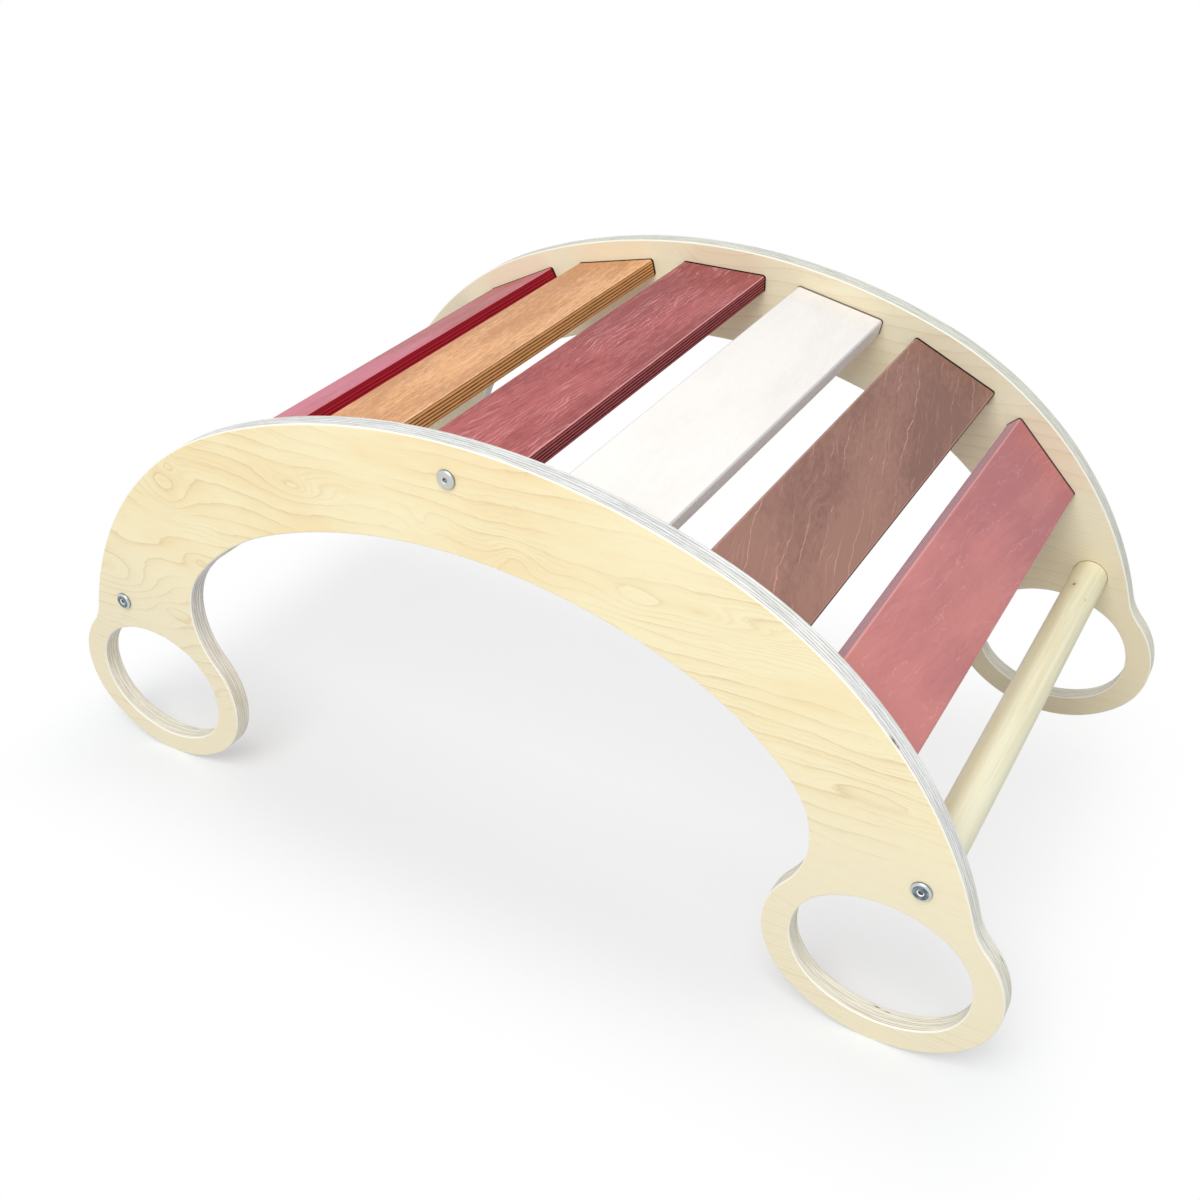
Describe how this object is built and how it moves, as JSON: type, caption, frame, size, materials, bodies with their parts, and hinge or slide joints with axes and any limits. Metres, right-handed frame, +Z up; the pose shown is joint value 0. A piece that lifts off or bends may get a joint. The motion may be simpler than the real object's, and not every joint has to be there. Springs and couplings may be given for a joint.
{
  "type": "wooden rocker arch",
  "caption": "Wooden climbing and rocking arch for children: arched plywood side panels with oval ring feet, joined by coloured slats and round rails with connector bolts.",
  "frame": {"origin": "on the floor, in the middle of the arch's length and width", "axes": "+X along the arch towards the end nearest the picture's viewer, +Y across the arch from the near side panel to the far one, +Z up"},
  "size_m": [0.96, 0.514, 0.448],
  "materials": {
    "birch_ply": "satin clear-varnished birch plywood",
    "rail_wood": "satin clear-varnished round bar",
    "slat_plum": "satin plum stain",
    "slat_crimson": "satin crimson stain",
    "slat_tan": "satin light oak stain",
    "slat_mahogany": "satin mahogany stain",
    "slat_white": "satin white stain",
    "slat_brown": "satin brown stain",
    "slat_rose": "satin rose stain",
    "zinc_steel": "zinc-plated steel",
    "insert_brass": "yellow-passivated insert"
  },
  "bodies": {
    "root": {"side_panel_front": "birch_ply", "side_panel_back": "birch_ply", "slat_1": "slat_plum", "slat_2": "slat_crimson", "slat_3": "slat_tan", "slat_4": "slat_mahogany", "slat_5": "slat_white", "slat_6": "slat_brown", "slat_7": "slat_rose", "rail_left": "rail_wood", "rail_right": "rail_wood", "bolt_front_left": "zinc_steel", "bolt_front_top": "zinc_steel", "bolt_front_right": "zinc_steel", "bolt_back_left": "zinc_steel", "bolt_back_top": "zinc_steel", "bolt_back_right": "zinc_steel", "insert_front_left": "insert_brass", "insert_front_top": "insert_brass", "insert_front_right": "insert_brass", "insert_back_left": "insert_brass", "insert_back_top": "insert_brass", "insert_back_right": "insert_brass"}
  },
  "joints": []
}
